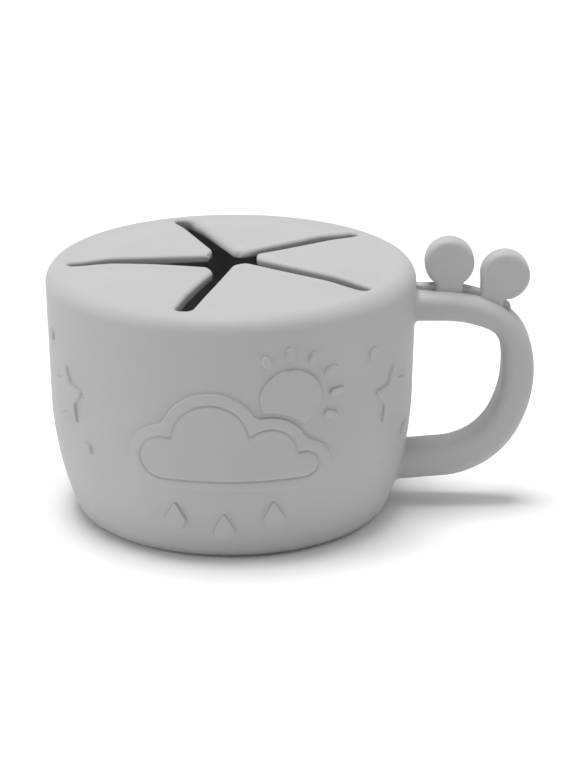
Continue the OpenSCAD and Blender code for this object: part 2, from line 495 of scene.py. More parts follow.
@dataclass(frozen=True)
class Cloud:
    """A flat-bottomed cloud of round lobes, each (x, z, radius)."""

    lobes: tuple[tuple[float, float, float], ...] = (
        (-15.0, 27.5, 8.0), (-4.0, 32.5, 11.5), (9.5, 28.8, 9.0), (17.5, 25.5, 6.0))
    base_z: float = 19.5
    centre: tuple[float, float] = (0.5, 26.5)
    softness: float = 1.6
    end_slope: float = 4.0
    columns: int = 900

    def distance(self, x: np.ndarray, z: np.ndarray) -> np.ndarray:
        """The softly joined lobes, filled down to the flat base.

        The fill lies between the middles of the end lobes, under the lobes' upper halves.

        Args:
            x: places across.
            z: places up.

        Returns:
            The distances, negative inside.
        """
        circles = [np.hypot(x - cx, z - cz) - r for cx, cz, r in self.lobes]
        upper = reduce(np.minimum, [np.hypot(x - cx, np.maximum(z - cz, 0)) - r for cx, cz, r in self.lobes])
        across = np.maximum(self.lobes[0][0] - x, x - self.lobes[-1][0])
        fill = np.maximum(np.maximum(self.base_z - z, upper), self.end_slope * across)
        return np.minimum(reduce(partial(soft_min, k=self.softness), circles), fill)


@dataclass(frozen=True)
class Sun:
    """A round sun, cut away where it stands behind the cloud."""

    cloud: Cloud
    at: tuple[float, float] = (14.5, 42.0)
    radius: float = 7.0
    gap: float = 1.3
    corner: float = 0.9
    aside: tuple[float, float] = (1.2, 1.4)
    columns: int = 300

    @property
    def centre(self) -> tuple[float, float]:
        """A point inside what is left of the sun, to the side of its middle that is away from the cloud."""
        return self.at[0] + self.aside[0], self.at[1] + self.aside[1]

    def distance(self, x: np.ndarray, z: np.ndarray) -> np.ndarray:
        """The circle less the cloud grown by the gap."""
        disc = np.hypot(x - self.at[0], z - self.at[1]) - self.radius
        return soft_max(disc, self.gap - self.cloud.distance(x, z), self.corner)


@dataclass(frozen=True)
class Ray:
    """A sun ray: a bar with round ends, pointing away from `origin`."""

    origin: tuple[float, float]
    turn: float
    near: float
    length: float = 3.4
    width: float = 1.8
    columns: int = 96

    @property
    def centre(self) -> tuple[float, float]:
        """Middle of the bar."""
        along = self.near + self.length / 2
        return (self.origin[0] + along * math.cos(math.radians(self.turn)),
                self.origin[1] + along * math.sin(math.radians(self.turn)))

    def distance(self, x: np.ndarray, z: np.ndarray) -> np.ndarray:
        """Distance to the bar's middle line, less half its width.

        Args:
            x: places across.
            z: places up.

        Returns:
            The distances, negative inside.
        """
        c, s = math.cos(math.radians(self.turn)), math.sin(math.radians(self.turn))
        dx, dz = x - self.centre[0], z - self.centre[1]
        along, across = dx * c + dz * s, dz * c - dx * s
        half = (self.length - self.width) / 2
        return np.hypot(np.maximum(np.abs(along) - half, 0), across) - self.width / 2


@dataclass(frozen=True)
class Drop:
    """A raindrop: a round belly with straight flanks up to a small round tip."""

    centre: tuple[float, float]
    radius: float = 2.4
    tip_round: float = 0.4
    tip_up: float = 2.1
    columns: int = 140

    def distance(self, x: np.ndarray, z: np.ndarray) -> np.ndarray:
        """Two circles one above the other, with the lines that touch both.

        Args:
            x: places across.
            z: places up.

        Returns:
            The distances, negative inside.
        """
        rise = self.tip_up * self.radius - 2 * self.tip_round
        across, up = np.abs(x - self.centre[0]), z - self.centre[1]
        sine = (self.radius - self.tip_round) / rise
        cosine = math.sqrt(1 - sine**2)
        along = up * cosine - across * sine
        flank = across * cosine + up * sine - self.radius
        tip = np.hypot(across, up - rise) - self.tip_round
        belly = np.hypot(across, up) - self.radius
        return np.where(along < 0, belly, np.where(along > cosine * rise, tip, flank))


@dataclass(frozen=True)
class Star:
    """A five-pointed star with rounded tips and soft hollows."""

    centre: tuple[float, float] = (0.0, 36.0)
    radius: float = 8.0
    waist: float = 0.5
    points: int = 5
    tip_round: float = 1.3
    hollow_round: float = 0.8
    columns: int = 400

    def distance(self, x: np.ndarray, z: np.ndarray) -> np.ndarray:
        """Each tip is bounded by two straight edges; the star is the two nearest tips softly joined.

        Args:
            x: places across.
            z: places up.

        Returns:
            The distances, negative inside.
        """
        span = 2 * math.pi / self.points
        far = np.hypot(x - self.centre[0], z - self.centre[1])
        turn = np.abs((np.arctan2(x - self.centre[0], z - self.centre[1]) + span / 2) % span - span / 2)
        waist = self.waist * self.radius
        hollow = np.array([waist * math.cos(span / 2), waist * math.sin(span / 2)])
        edge = hollow - np.array([self.radius, 0.0])
        out = np.array([-edge[1], edge[0]]) / -np.linalg.norm(edge)

        def beyond(angle: np.ndarray) -> np.ndarray:
            """Distance past one straight edge of the tip that lies at angle 0."""
            return (far * np.cos(angle) - self.radius) * out[0] + far * np.sin(angle) * out[1]

        near_tip = soft_max(beyond(turn), beyond(-turn), self.tip_round)
        next_tip = soft_max(beyond(span - turn), beyond(turn - span), self.tip_round)
        return soft_min(near_tip, next_tip, self.hollow_round)


@dataclass(frozen=True)
class Dot:
    """A small round dot."""

    centre: tuple[float, float]
    radius: float = 1.5
    columns: int = 72

    def distance(self, x: np.ndarray, z: np.ndarray) -> np.ndarray:
        """Distance to the circle."""
        return np.hypot(x - self.centre[0], z - self.centre[1]) - self.radius


@dataclass(frozen=True)
class Relief:
    """How a flat picture is raised from the wall.

    A profile is carried round the picture's outline: a small hollow fillet at the foot, a short upright, a
    rounded edge and a flat top, which may have one round groove along it. The outline at each inset is the
    curve on which the picture's distance has that value, found along rays from its centre, `search_rays` of
    them for each column.
    """

    height: float = 0.7
    foot: float = 0.16
    edge: float = 0.32
    sunk: float = 0.35
    groove_in: float = 2.2
    groove_w: float = 1.1
    groove_depth: float = 0.36
    past_groove: float = 0.2
    round_steps: int = 5
    groove_steps: int = 12
    rings: int = 14
    search_rays: int = 4
    reach: float = 60.0

    def profile(self, cap: Cap) -> tuple[np.ndarray, np.ndarray]:
        """The profile from its foot to the top.

        The foot and the edge are quarter circles. Across a groove of depth d, the height falls by
        d (1 - cos(2 pi t)) / 2.

        Args:
            cap: how the top is finished.

        Returns:
            Distances from the outline, positive outwards, and heights above the wall.
        """
        turn = quarter(self.round_steps)
        level = [self.foot * (1 - np.sin(turn)), -self.edge * (1 - np.cos(turn))]
        lift = [self.foot * (1 - np.cos(turn)), self.height - self.edge * (1 - np.sin(turn))]
        if cap is Cap.GROOVED:
            t = np.linspace(0, 1, self.groove_steps + 1)
            past = [-self.groove_in - self.groove_w - self.past_groove]
            level += [-self.groove_in - self.groove_w * t, past]
            lift += [self.height - self.groove_depth * (1 - np.cos(2 * math.pi * t)) / 2, [self.height]]
        return np.concatenate(level), np.concatenate(lift)

    def surface(self, picture: Picture, side: SideCurve, turn: float, cap: Cap) -> Surface:
        """The closed surface of one raised picture, its underside sunk in the wall.

        Its columns are spread evenly along the outline.

        Args:
            picture: the flat picture.
            side: the wall it stands on.
            turn: its place round the cup, where 0 faces -Y.
            cap: how its top is finished.

        Returns:
            The surface in the cup's own place.
        """
        cx, cz = picture.centre

        def radii(levels: np.ndarray, angles: np.ndarray) -> np.ndarray:
            """Distance from the centre to each level along each ray."""
            def within(far: np.ndarray) -> np.ndarray:
                """Whether points at these distances are still inside the level."""
                x, z = cx + far * np.cos(angles), cz + far * np.sin(angles)
                return picture.distance(x, z) < levels[:, None]
            return bisect(within, self.reach, (len(levels), len(angles)))

        even = np.linspace(0, 2 * math.pi, self.search_rays * picture.columns + 1)
        rim = radii(np.zeros(1), even)[0]
        step = np.hypot(np.diff(rim * np.cos(even)), np.diff(rim * np.sin(even)))
        run = np.concatenate([[0.0], np.cumsum(step)])
        angles = np.interp(np.linspace(0, run[-1], picture.columns, endpoint=False), run, even)
        levels, lifts = self.profile(cap)
        flank = radii(levels, angles)
        share = np.linspace(0, 1, self.rings + 1)[1:-1, None]
        reach = np.concatenate([share * flank[:1], flank[:1], flank, (1 - share) * flank[-1:]])
        lift = np.concatenate([
            np.full(len(share) + 1, -self.sunk), lifts, np.full(len(share), lifts[-1])])[:, None]
        x, z = cx + reach * np.cos(angles), cz + reach * np.sin(angles)
        rings = side.pressed(x, z, np.broadcast_to(lift, x.shape), turn)
        middle = side.pressed(np.full(2, cx), np.full(2, cz), np.array([-self.sunk, lifts[-1]]), turn)
        return closed_tube(rings, middle[0], middle[1])


# Sub-assemblies


def dressed(piece: bpy.types.Object, body: Body, slot: Slot, *nodes: str) -> bpy.types.Object:
    """Sets a finished piece on its body and reports it.

    Args:
        piece: the piece.
        body: the body it rides on.
        slot: its material slot, which is not used.
        nodes: the CAD nodes it stands for, if any.

    Returns:
        The piece.
    """
    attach(piece, body.value)
    if nodes:
        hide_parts(*nodes)
    log.info("%s: %d points, rides %s", piece.name, len(piece.data.vertices), body.value)
    return piece


@dataclass
class Cup:
    """The cup: its wall and floor in one surface of revolution, and the pictures raised on the wall.

    Inside `fan_r`, the underside and the floor are fans of triangles. `side_steps` are the steps along the
    drafted line, the long arc and the short arc of either face, and `lip_steps` those round the lip's outer
    and inner edge. Places in x and z are from the middle of the base.
    """

    silicone: bpy.types.Material
    rim_r: float
    seam_z: float
    draft: float = 1.3
    belly_z: float = 30.0
    base_inset: float = 10.0
    base_round: float = 4.4
    wall: float = 2.6
    floor_t: float = 3.0
    floor_round: float = 6.0
    floor_inset: float = 2.0
    rim_round_out: float = 0.02
    rim_round_in: float = 0.6
    fan_r: float = 6.0
    flat_steps: int = 5
    side_steps: tuple[int, int, int] = (8, 36, 12)
    lip_steps: tuple[int, int] = (4, 8)
    columns: int = 288
    relief: Relief = Relief()
    ray_turns: tuple[float, ...] = (-30, 0, 30, 60, 90, 120)
    ray_space: float = 2.0
    drops_at: tuple[tuple[float, float], ...] = ((-12.5, 11.0), (-1.0, 8.5), (10.5, 11.5))
    star_turns: tuple[float, ...] = (-60, 60, 122, -122)
    dots_at: tuple[tuple[float, float], ...] = ((-8.5, 48.5), (8.0, 24.5))

    @property
    def outside(self) -> SideCurve:
        """The outer face of the wall.

        Returns:
            Its curve, up from the base.
        """
        belly_r = self.rim_r - (self.seam_z - self.belly_z) * math.tan(math.radians(self.draft))
        base_r = self.rim_r - self.base_inset
        return SideCurve((belly_r, self.belly_z), (base_r, self.base_round), self.base_round, self.draft)

    @property
    def inside(self) -> SideCurve:
        """The inner face of the wall.

        Returns:
            Its curve, up from the base.
        """
        out = self.outside
        belly = np.array(out.belly) - self.wall * out.normal
        corner = (out.corner[0] - self.floor_inset, self.floor_t + self.floor_round)
        return SideCurve(tuple(belly), corner, self.floor_round, self.draft)

    def bowl(self) -> bpy.types.Object:
        """The wall and floor: under the base, up the outside, over the rim and down the inside.

        Returns:
            The piece.
        """
        top = self.seam_z
        outer = self.outside.section(top - self.rim_round_out, *self.side_steps)
        inner = self.inside.section(top - self.rim_round_in, *self.side_steps)[::-1]
        n = self.flat_steps
        base = np.stack([np.linspace(self.fan_r, outer[0, 0], n + 1)[:-1], np.zeros(n)], axis=-1)
        bed = np.stack([np.linspace(inner[-1, 0], self.fan_r, n + 1)[1:], np.full(n, self.floor_t)], axis=-1)
        out_r, in_r = self.rim_round_out, self.rim_round_in
        lip_out = arc((self.rim_r - out_r, top - out_r), out_r, 0, 90, self.lip_steps[0])
        lip_in = arc((self.rim_r - self.wall + in_r, top - in_r), in_r, 90, 180, self.lip_steps[1])
        profile = np.concatenate([base, outer, lip_out[1:], lip_in[:-1], inner, bed])
        surface = closed_tube(
            revolved(profile, self.columns), np.array([0.0, 0.0, 0.0]), np.array([0.0, 0.0, self.floor_t]))
        return dressed(surface.add_to_scene("cup_bowl", self.silicone), Body.CUP, Slot.CUP, "cup_shell")

    def raised(
            self, name: str, picture: Picture, turn: float = 0.0, cap: Cap = Cap.PLAIN) -> bpy.types.Object:
        """One picture raised on the wall.

        Args:
            name: the piece's name.
            picture: the flat picture.
            turn: its place round the cup, where 0 faces -Y.
            cap: how its top is finished.

        Returns:
            The piece.
        """
        surface = self.relief.surface(picture, self.outside, turn, cap)
        return dressed(surface.add_to_scene(name, self.silicone), Body.CUP, Slot.CUP)

    def front_pictures(self) -> None:
        """The cloud, the sun with its rays, and the raindrops."""
        cloud = Cloud()
        sun = Sun(cloud)
        self.raised("raised_cloud", cloud, cap=Cap.GROOVED)
        self.raised("raised_sun", sun)
        for i, turn in enumerate(self.ray_turns, 1):
            self.raised(f"sun_ray_{i}", Ray(sun.at, turn, sun.radius + self.ray_space))
        for i, at in enumerate(self.drops_at, 1):
            self.raised(f"raindrop_{i}", Drop(at))

    def side_pictures(self) -> None:
        """The stars round the rest of the wall, each with its dots."""
        for i, turn in enumerate(self.star_turns, 1):
            self.raised(f"side_star_{i}", Star(), turn)
            for k, at in enumerate(self.dots_at, 1):
                self.raised(f"side_dot_{i}_{k}", Dot(at), turn)

    def build(self) -> None:
        """Makes the whole cup."""
        self.bowl()
        self.front_pictures()
        self.side_pictures()


@dataclass
class Handle:
    """The D-shaped bar: a straight arm, four bends and a straight foot, with a fillet at either end.

    `thick` gives the bar's thickness at some of the turns it has made, in degrees. The bends begin
    `arm_reach` beyond the rim, and the bar's ends go on for `sunk` inside the wall, which is looked for up
    to `wall_search`.
    """

    silicone: bpy.types.Material
    side: SideCurve
    width: float
    top_z: float
    rim_r: float
    arm_reach: float = 6.2
    thick: tuple[tuple[float, float], ...] = ((0.0, 7.3), (45.0, 6.1), (90.0, 7.8), (175.0, 8.2))
    rounding: float = 3.0
    bend_r: tuple[float, ...] = (30.3, 11.75, 29.0, 19.0)
    bend_turn: tuple[float, ...] = (22.0, 57.0, 38.0, 58.0)
    wall_fillet: float = 1.2
    sunk: float = 1.0
    sunk_flare: float = 0.8
    wall_search: float = 30.0
    turn_step: float = 2.5
    corner_steps: int = 8
    flat_steps: int = 6
    fillet_steps: int = 9
    end_steps: int = 8

    def pivot(self, bend: int) -> np.ndarray:
        """Centre of a bend, on the line through the centre of the one before and the end that they share.

        Args:
            bend: 0 to 3, from the arm to the foot.

        Returns:
            Its x and z.
        """
        centre = np.array([self.rim_r + self.arm_reach, self.top_z - self.thick[0][1] / 2 - self.bend_r[0]])
        for i in range(bend):
            turn = np.array(float(sum(self.bend_turn[:i + 1])))
            centre = centre + (self.bend_r[i] - self.bend_r[i + 1]) * self.outward(turn)
        return centre

    def route(self) -> tuple[np.ndarray, np.ndarray]:
        """The middle line through the bends.

        Returns:
            Points (n, 2) in x and z, and the turn made at each, in degrees.
        """
        points, turns, turn = [], [], 0.0
        for bend, (radius, sweep) in enumerate(zip(self.bend_r, self.bend_turn)):
            steps = np.linspace(turn, turn + sweep, round(sweep / self.turn_step) + 1)[min(bend, 1):]
            points.append(self.pivot(bend) + radius * self.outward(steps))
            turns.append(steps)
            turn += sweep
        return np.concatenate(points), np.concatenate(turns)

    @staticmethod
    def outward(turn: np.ndarray) -> np.ndarray:
        """Unit vector in x and z from the inside of the loop to its outside, after a turn in degrees."""
        return np.stack([np.sin(np.radians(turn)), np.cos(np.radians(turn))], axis=-1)

    @staticmethod
    def heading(turn: float) -> np.ndarray:
        """Unit vector along the bar, as x, y, z, after a turn in degrees."""
        return np.array([math.cos(math.radians(turn)), 0.0, -math.sin(math.radians(turn))])

    def thickness(self, turn: np.ndarray) -> np.ndarray:
        """The bar's thickness, which changes steadily between the turns in `thick`."""
        return np.interp(turn, [t for t, _ in self.thick], [size for _, size in self.thick])

    def above(self, turn: np.ndarray, height: np.ndarray | float) -> np.ndarray:
        """Points over the bar's outer face.

        Args:
            turn: turns within the first two bends.
            height: their height over the face.

        Returns:
            An (n, 2) array of x and z.
        """
        first = turn <= self.bend_turn[0]
        pivot = np.where(first[:, None], self.pivot(0), self.pivot(1))
        radius = np.where(first, self.bend_r[0], self.bend_r[1]) + self.thickness(turn) / 2 + height
        return pivot + radius[:, None] * self.outward(turn)

    def section(self, thickness: np.ndarray) -> tuple[np.ndarray, np.ndarray]:
        """Rounded rectangles, one for each thickness.

        Args:
            thickness: n thicknesses.

        Returns:
            Points (n, m, 2) as depth along outward and place along y, and the m normals of one section.
        """
        q = np.arange(4)[:, None]
        angle = np.radians(90 * q + 90 * np.arange(self.corner_steps + 1) / self.corner_steps)
        sign_d, sign_w = np.array([1, -1, -1, 1])[:, None], np.array([1, 1, -1, -1])[:, None]
        normal = np.stack([np.cos(angle), np.sin(angle)], axis=-1)
        half = thickness[:, None, None] / 2 - self.rounding
        depth = sign_d * half + self.rounding * normal[..., 0]
        aside = sign_w * (self.width / 2 - self.rounding) + self.rounding * normal[..., 1]
        across = np.broadcast_to(aside, depth.shape)
        corners = np.stack([depth, across], axis=-1)
        share = (np.arange(1, self.flat_steps) / self.flat_steps)[:, None]
        start, stop = corners[:, :, -1:, :], np.roll(corners[:, :, :1, :], -1, axis=1)
        flats = start * (1 - share) + stop * share
        flat_normals = np.broadcast_to(normal[:, -1:, :], (4, self.flat_steps - 1, 2))
        points = np.concatenate([corners, flats], axis=2).reshape(len(thickness), -1, 2)
        normals = np.concatenate([normal, flat_normals], axis=1).reshape(-1, 2)
        return points * [1, -1], normals * [1, -1]

    def to_wall(self, points: np.ndarray, heading: np.ndarray) -> np.ndarray:
        """How far points are from the cup's side.

        Args:
            points: the points, clear of the side.
            heading: the way to go.

        Returns:
            The distance that each has to go.
        """
        def outside(far: np.ndarray) -> np.ndarray:
            """Whether the point is still clear of the side."""
            p = points + far[..., None] * heading
            return np.hypot(p[..., 0], p[..., 1]) > self.side.parts(p[..., 2])[0]
        return bisect(outside, self.wall_search, points.shape[:-1])

    def wall_end(self, ring: np.ndarray, normals: np.ndarray, heading: np.ndarray) -> np.ndarray:
        """Rings that carry `ring` along heading to the cup's side, with a hollow fillet there.

        At a distance d from the side, the fillet of radius f stands out by f - sqrt(f*f - (f-d)^2). Inside
        the wall it stands out by the share `sunk_flare` of f.

        Args:
            ring: the (m, 3) ring to start from, which is left out of the result.
            normals: its (m, 3) outward normals.
            heading: the way to the side.

        Returns:
            The rings, in order from the start to the one that is sunk in the wall.
        """
        f = self.wall_fillet
        turn = quarter(self.fillet_steps)[::-1]
        clear = np.concatenate([f * (1 - np.cos(turn)), [-self.sunk]])[:, None]
        flare = np.concatenate([f * (1 - np.sin(turn)), [self.sunk_flare * f]])[:, None, None]
        moved = ring + flare * normals
        ends = moved + (self.to_wall(moved, heading) - clear)[..., None] * heading
        share = (np.arange(1, self.end_steps) / self.end_steps)[:, None, None]
        return np.concatenate([ring * (1 - share) + ends[0] * share, ends])

    def bar(self) -> bpy.types.Object:
        """The whole bar, from inside the wall at the top to inside the wall at the foot.

        Its rounded section is carried along the route, square to it.

        Returns:
            The piece.
        """
        points, turns = self.route()
        sections, flat_normals = self.section(self.thickness(turns))
        out = np.insert(self.outward(turns), 1, 0.0, axis=-1)[:, None, :]
        across = np.array([0.0, 1.0, 0.0])
        middle = np.insert(points, 1, 0.0, axis=-1)[:, None, :]
        rings = middle + sections[..., 0:1] * out + sections[..., 1:2] * across
        normals = flat_normals[:, 0:1] * out + flat_normals[:, 1:2] * across
        arm = self.wall_end(rings[0], normals[0], -self.heading(0.0))[::-1]
        foot = self.wall_end(rings[-1], normals[-1], self.heading(float(turns[-1])))
        grid = np.concatenate([arm, rings, foot])
        surface = closed_tube(grid, grid[0].mean(axis=0), grid[-1].mean(axis=0))
        return dressed(surface.add_to_scene("handle_bar", self.silicone), Body.CUP, Slot.CUP, "handle_loop")

    def build(self) -> None:
        """Makes the bar."""
        self.bar()


@dataclass
class ThumbRail:
    """The narrow rib along the handle's top and the two round knobs, whose broader necks stand over it.

    The rib begins `rib_start` inside the rim, follows the bar at a height `rib_h` and sinks into it between
    the turns in `rib_fade`. The first knob stands `knob_out` beyond the rim, at the rail's top. A neck's
    sides are given as their distances left and right of its knob's middle. Rib and necks reach into the bar
    by `under`, or a little more. The bar's face is read at `face_steps` places over its first `face_reach`
    degrees.
    """

    silicone: bpy.types.Material
    bar: Handle
    top_z: float
    knob_r: float = 6.0
    knob_half_t: float = 2.8
    knob_edge: float = 1.25
    knob_out: float = 8.0
    knob_lift_2: float = 5.7
    knob_turn: float = 22.5
    necks: tuple[tuple[float, float], ...] = ((3.4, 3.4), (5.85, -0.25))
    neck_fillet: float = 0.8
    foot_fillet: float = 0.7
    foot_sunk: float = 0.3
    hidden_round: float = 1.4
    rib_half_t: float = 1.5
    rib_edge: float = 0.35
    rib_h: float = 1.2
    rib_fade: tuple[float, float] = (37.5, 44.5)
    rib_sunk: float = 0.5
    rib_start: float = 1.7
    under: float = 3.0
    spacing: float = 0.12
    edge_steps: int = 8
    closing: float = 1.06
    rib_steps: int = 240
    arm_steps: int = 23
    low_every: int = 4
    face_reach: float = 60.0
    face_steps: int = 120

    def knobs(self) -> tuple[np.ndarray, np.ndarray]:
        """Where the knobs stand: one over the straight arm, and one square to the bar at `knob_turn`.

        Returns:
            Their centres, in x and z.
        """
        second = self.bar.above(np.array([self.knob_turn]), 0.0)[0] - self.bar.pivot(1)
        rise = np.linalg.norm(second) + self.rib_h + self.knob_lift_2
        first = np.array([self.bar.rim_r + self.knob_out, self.top_z - self.knob_r])
        return first, self.bar.pivot(1) + rise * self.bar.outward(np.array(self.knob_turn))

    def bar_top_at(self, x: float) -> float:
        """Height of the bar's outer face at x."""
        outer = self.bar.above(np.linspace(0, self.face_reach, self.face_steps + 1), 0.0)
        return float(np.interp(x, outer[:, 0], outer[:, 1]))

    def rib_outline(self) -> np.ndarray:
        """The rib from the wall to its end, then back inside the bar, clockwise seen from the front.

        Its height over the bar falls by a smooth step between the turns in `rib_fade`.

        Returns:
            An (n, 2) array of x and z.
        """
        start_x = self.bar.rim_r - self.rib_start
        turn = np.linspace(0, self.rib_fade[1], self.rib_steps)
        fade = smooth_step((turn - self.rib_fade[0]) / (self.rib_fade[1] - self.rib_fade[0]))
        top = self.bar.above(turn, self.rib_h - (self.rib_h + self.rib_sunk) * fade)
        low = self.bar.above(turn[::-self.low_every], -self.under)
        wall_x = np.linspace(start_x, top[0, 0], self.arm_steps + 1)[:-1]
        flat = np.stack([wall_x, np.full(len(wall_x), top[0, 1])], axis=-1)
        return np.concatenate([flat, top, low, [[start_x, low[-1, 1]]]])

    def steps_round(self, radius: float, turn: float) -> int:
        """Steps of about `spacing` round a turn in degrees, and at least 3."""
        return max(3, round(math.radians(turn) * radius / self.spacing))

    def neck_side(self, knob: np.ndarray, half: float, side: int) -> np.ndarray:
        """One side of a neck, from the knob's edge down into the bar.

        The fillet under the knob is centred at knob_r + neck_fillet from the knob's middle and a neck_fillet
        beyond the neck's side.

        Args:
            knob: the knob's centre.
            half: the distance of the neck's side from it.
            side: 1 for the right side and -1 for the left one.

        Returns:
            Its (n, 2) points.
        """
        f, g, deep = self.neck_fillet, self.foot_fillet, self.hidden_round
        drop = math.sqrt((self.knob_r + f) ** 2 - (half + f) ** 2)
        foot = self.bar_top_at(knob[0] + side * (half + g)) - self.foot_sunk - knob[1]
        touch = bearing(np.array([-half - f, drop]))
        fillet = arc((half + f, -drop), f, touch, 180, self.steps_round(f, 180 - touch))
        far = half + g + deep + self.spacing
        way = np.array([
            [half, -drop], [half, foot], [far, foot], [far, foot - self.under], [0, foot - self.under]])
        bends = [
            round_corner(way[i - 1], way[i], way[i + 1], radius, self.steps_round(radius, 90))
            for i, radius in ((1, g), (2, deep), (3, deep))]
        return knob + np.concatenate([fillet, *bends]) * [side, 1]

    def knob_outline(self, knob: np.ndarray, neck: tuple[float, float]) -> np.ndarray:
        """A knob and its neck, clockwise seen from the front.

        Args:
            knob: the knob's centre.
            neck: distances of the neck's left and right side from it.

        Returns:
            An (n, 2) array of x and z.
        """
        left, right = self.neck_side(knob, neck[0], -1)[::-1], self.neck_side(knob, neck[1], 1)
        start, stop = bearing(left[-1] - knob), bearing(right[0] - knob)
        start += 360 if start < 0 else 0
        crown = arc(tuple(knob), self.knob_r, start, stop, self.steps_round(self.knob_r, start - stop))
        return np.concatenate([left, crown[1:-1], right])

    def plate(
            self, name: str, outline: np.ndarray, half_t: float, edge: float, *nodes: str
    ) -> bpy.types.Object:
        """An outline carried through a thickness, drawn in round both faces by a quarter circle.

        The two flat faces close on outlines drawn in by `closing` times the edge's radius.

        Args:
            name: the piece's name.
            outline: (n, 2) points in x and z, clockwise seen from the front.
            half_t: half its thickness.
            edge: radius of the rounded edge.
            nodes: the nodes it stands for.

        Returns:
            The piece.
        """
        way = np.roll(outline, -1, axis=0) - outline
        way = way / np.linalg.norm(way, axis=-1, keepdims=True)
        mean = way + np.roll(way, 1, axis=0)
        normal = np.stack([-mean[:, 1], mean[:, 0]], axis=-1) / np.linalg.norm(mean, axis=-1, keepdims=True)
        turn = quarter(self.edge_steps)
        inset, depth = np.append(self.closing, 1 - np.sin(turn)), np.append(0.0, 1 - np.cos(turn))
        inset, depth = edge * np.append(inset, inset[::-1]), edge * np.append(depth, depth[::-1])
        y = np.repeat([-1.0, 1.0], len(turn) + 1) * (half_t - depth)
        flat = outline - inset[:, None, None] * normal
        rings = np.stack([flat[..., 0], np.broadcast_to(y[:, None], flat.shape[:2]), flat[..., 1]], axis=-1)
        return dressed(closed_plate(rings).add_to_scene(name, self.silicone), Body.CUP, Slot.CUP, *nodes)

    def build(self) -> None:
        """Makes the rib and both knobs."""
        self.plate("thumb_rib", self.rib_outline(), self.rib_half_t, self.rib_edge, "thumb_rail")
        for i, (knob, neck) in enumerate(zip(self.knobs(), self.necks)):
            self.plate(f"thumb_knob_{i + 1}", self.knob_outline(knob, neck), self.knob_half_t, self.knob_edge)


@dataclass(frozen=True)
class Sag:
    """How a soft tongue stands off its flat shape, as heights at its clockwise and its anticlockwise slit.

    `dome` is the height of its broad part and `tip` what its tip adds, which grows with the power `power`
    of the distance from the ends of the slits.
    """

    dome: tuple[float, float]
    tip: tuple[float, float]
    power: float


@dataclass(frozen=True)
class Tongue:
    """The shape of one tongue between its two slits.

    Each pair is for its clockwise and its anticlockwise side: `sides` are their distances from the middle
    lines of the slits, `tip_rounds` the radii of the tip's corners, and `edges` the radii of the rounding
    along its top.
    """

    sag: Sag
    tip_r: float = 6.35
    tip_rounds: tuple[float, float] = (1.5, 1.5)
    sides: tuple[float, float] = (1.5, 1.5)
    edges: tuple[float, float] = (0.9, 0.9)


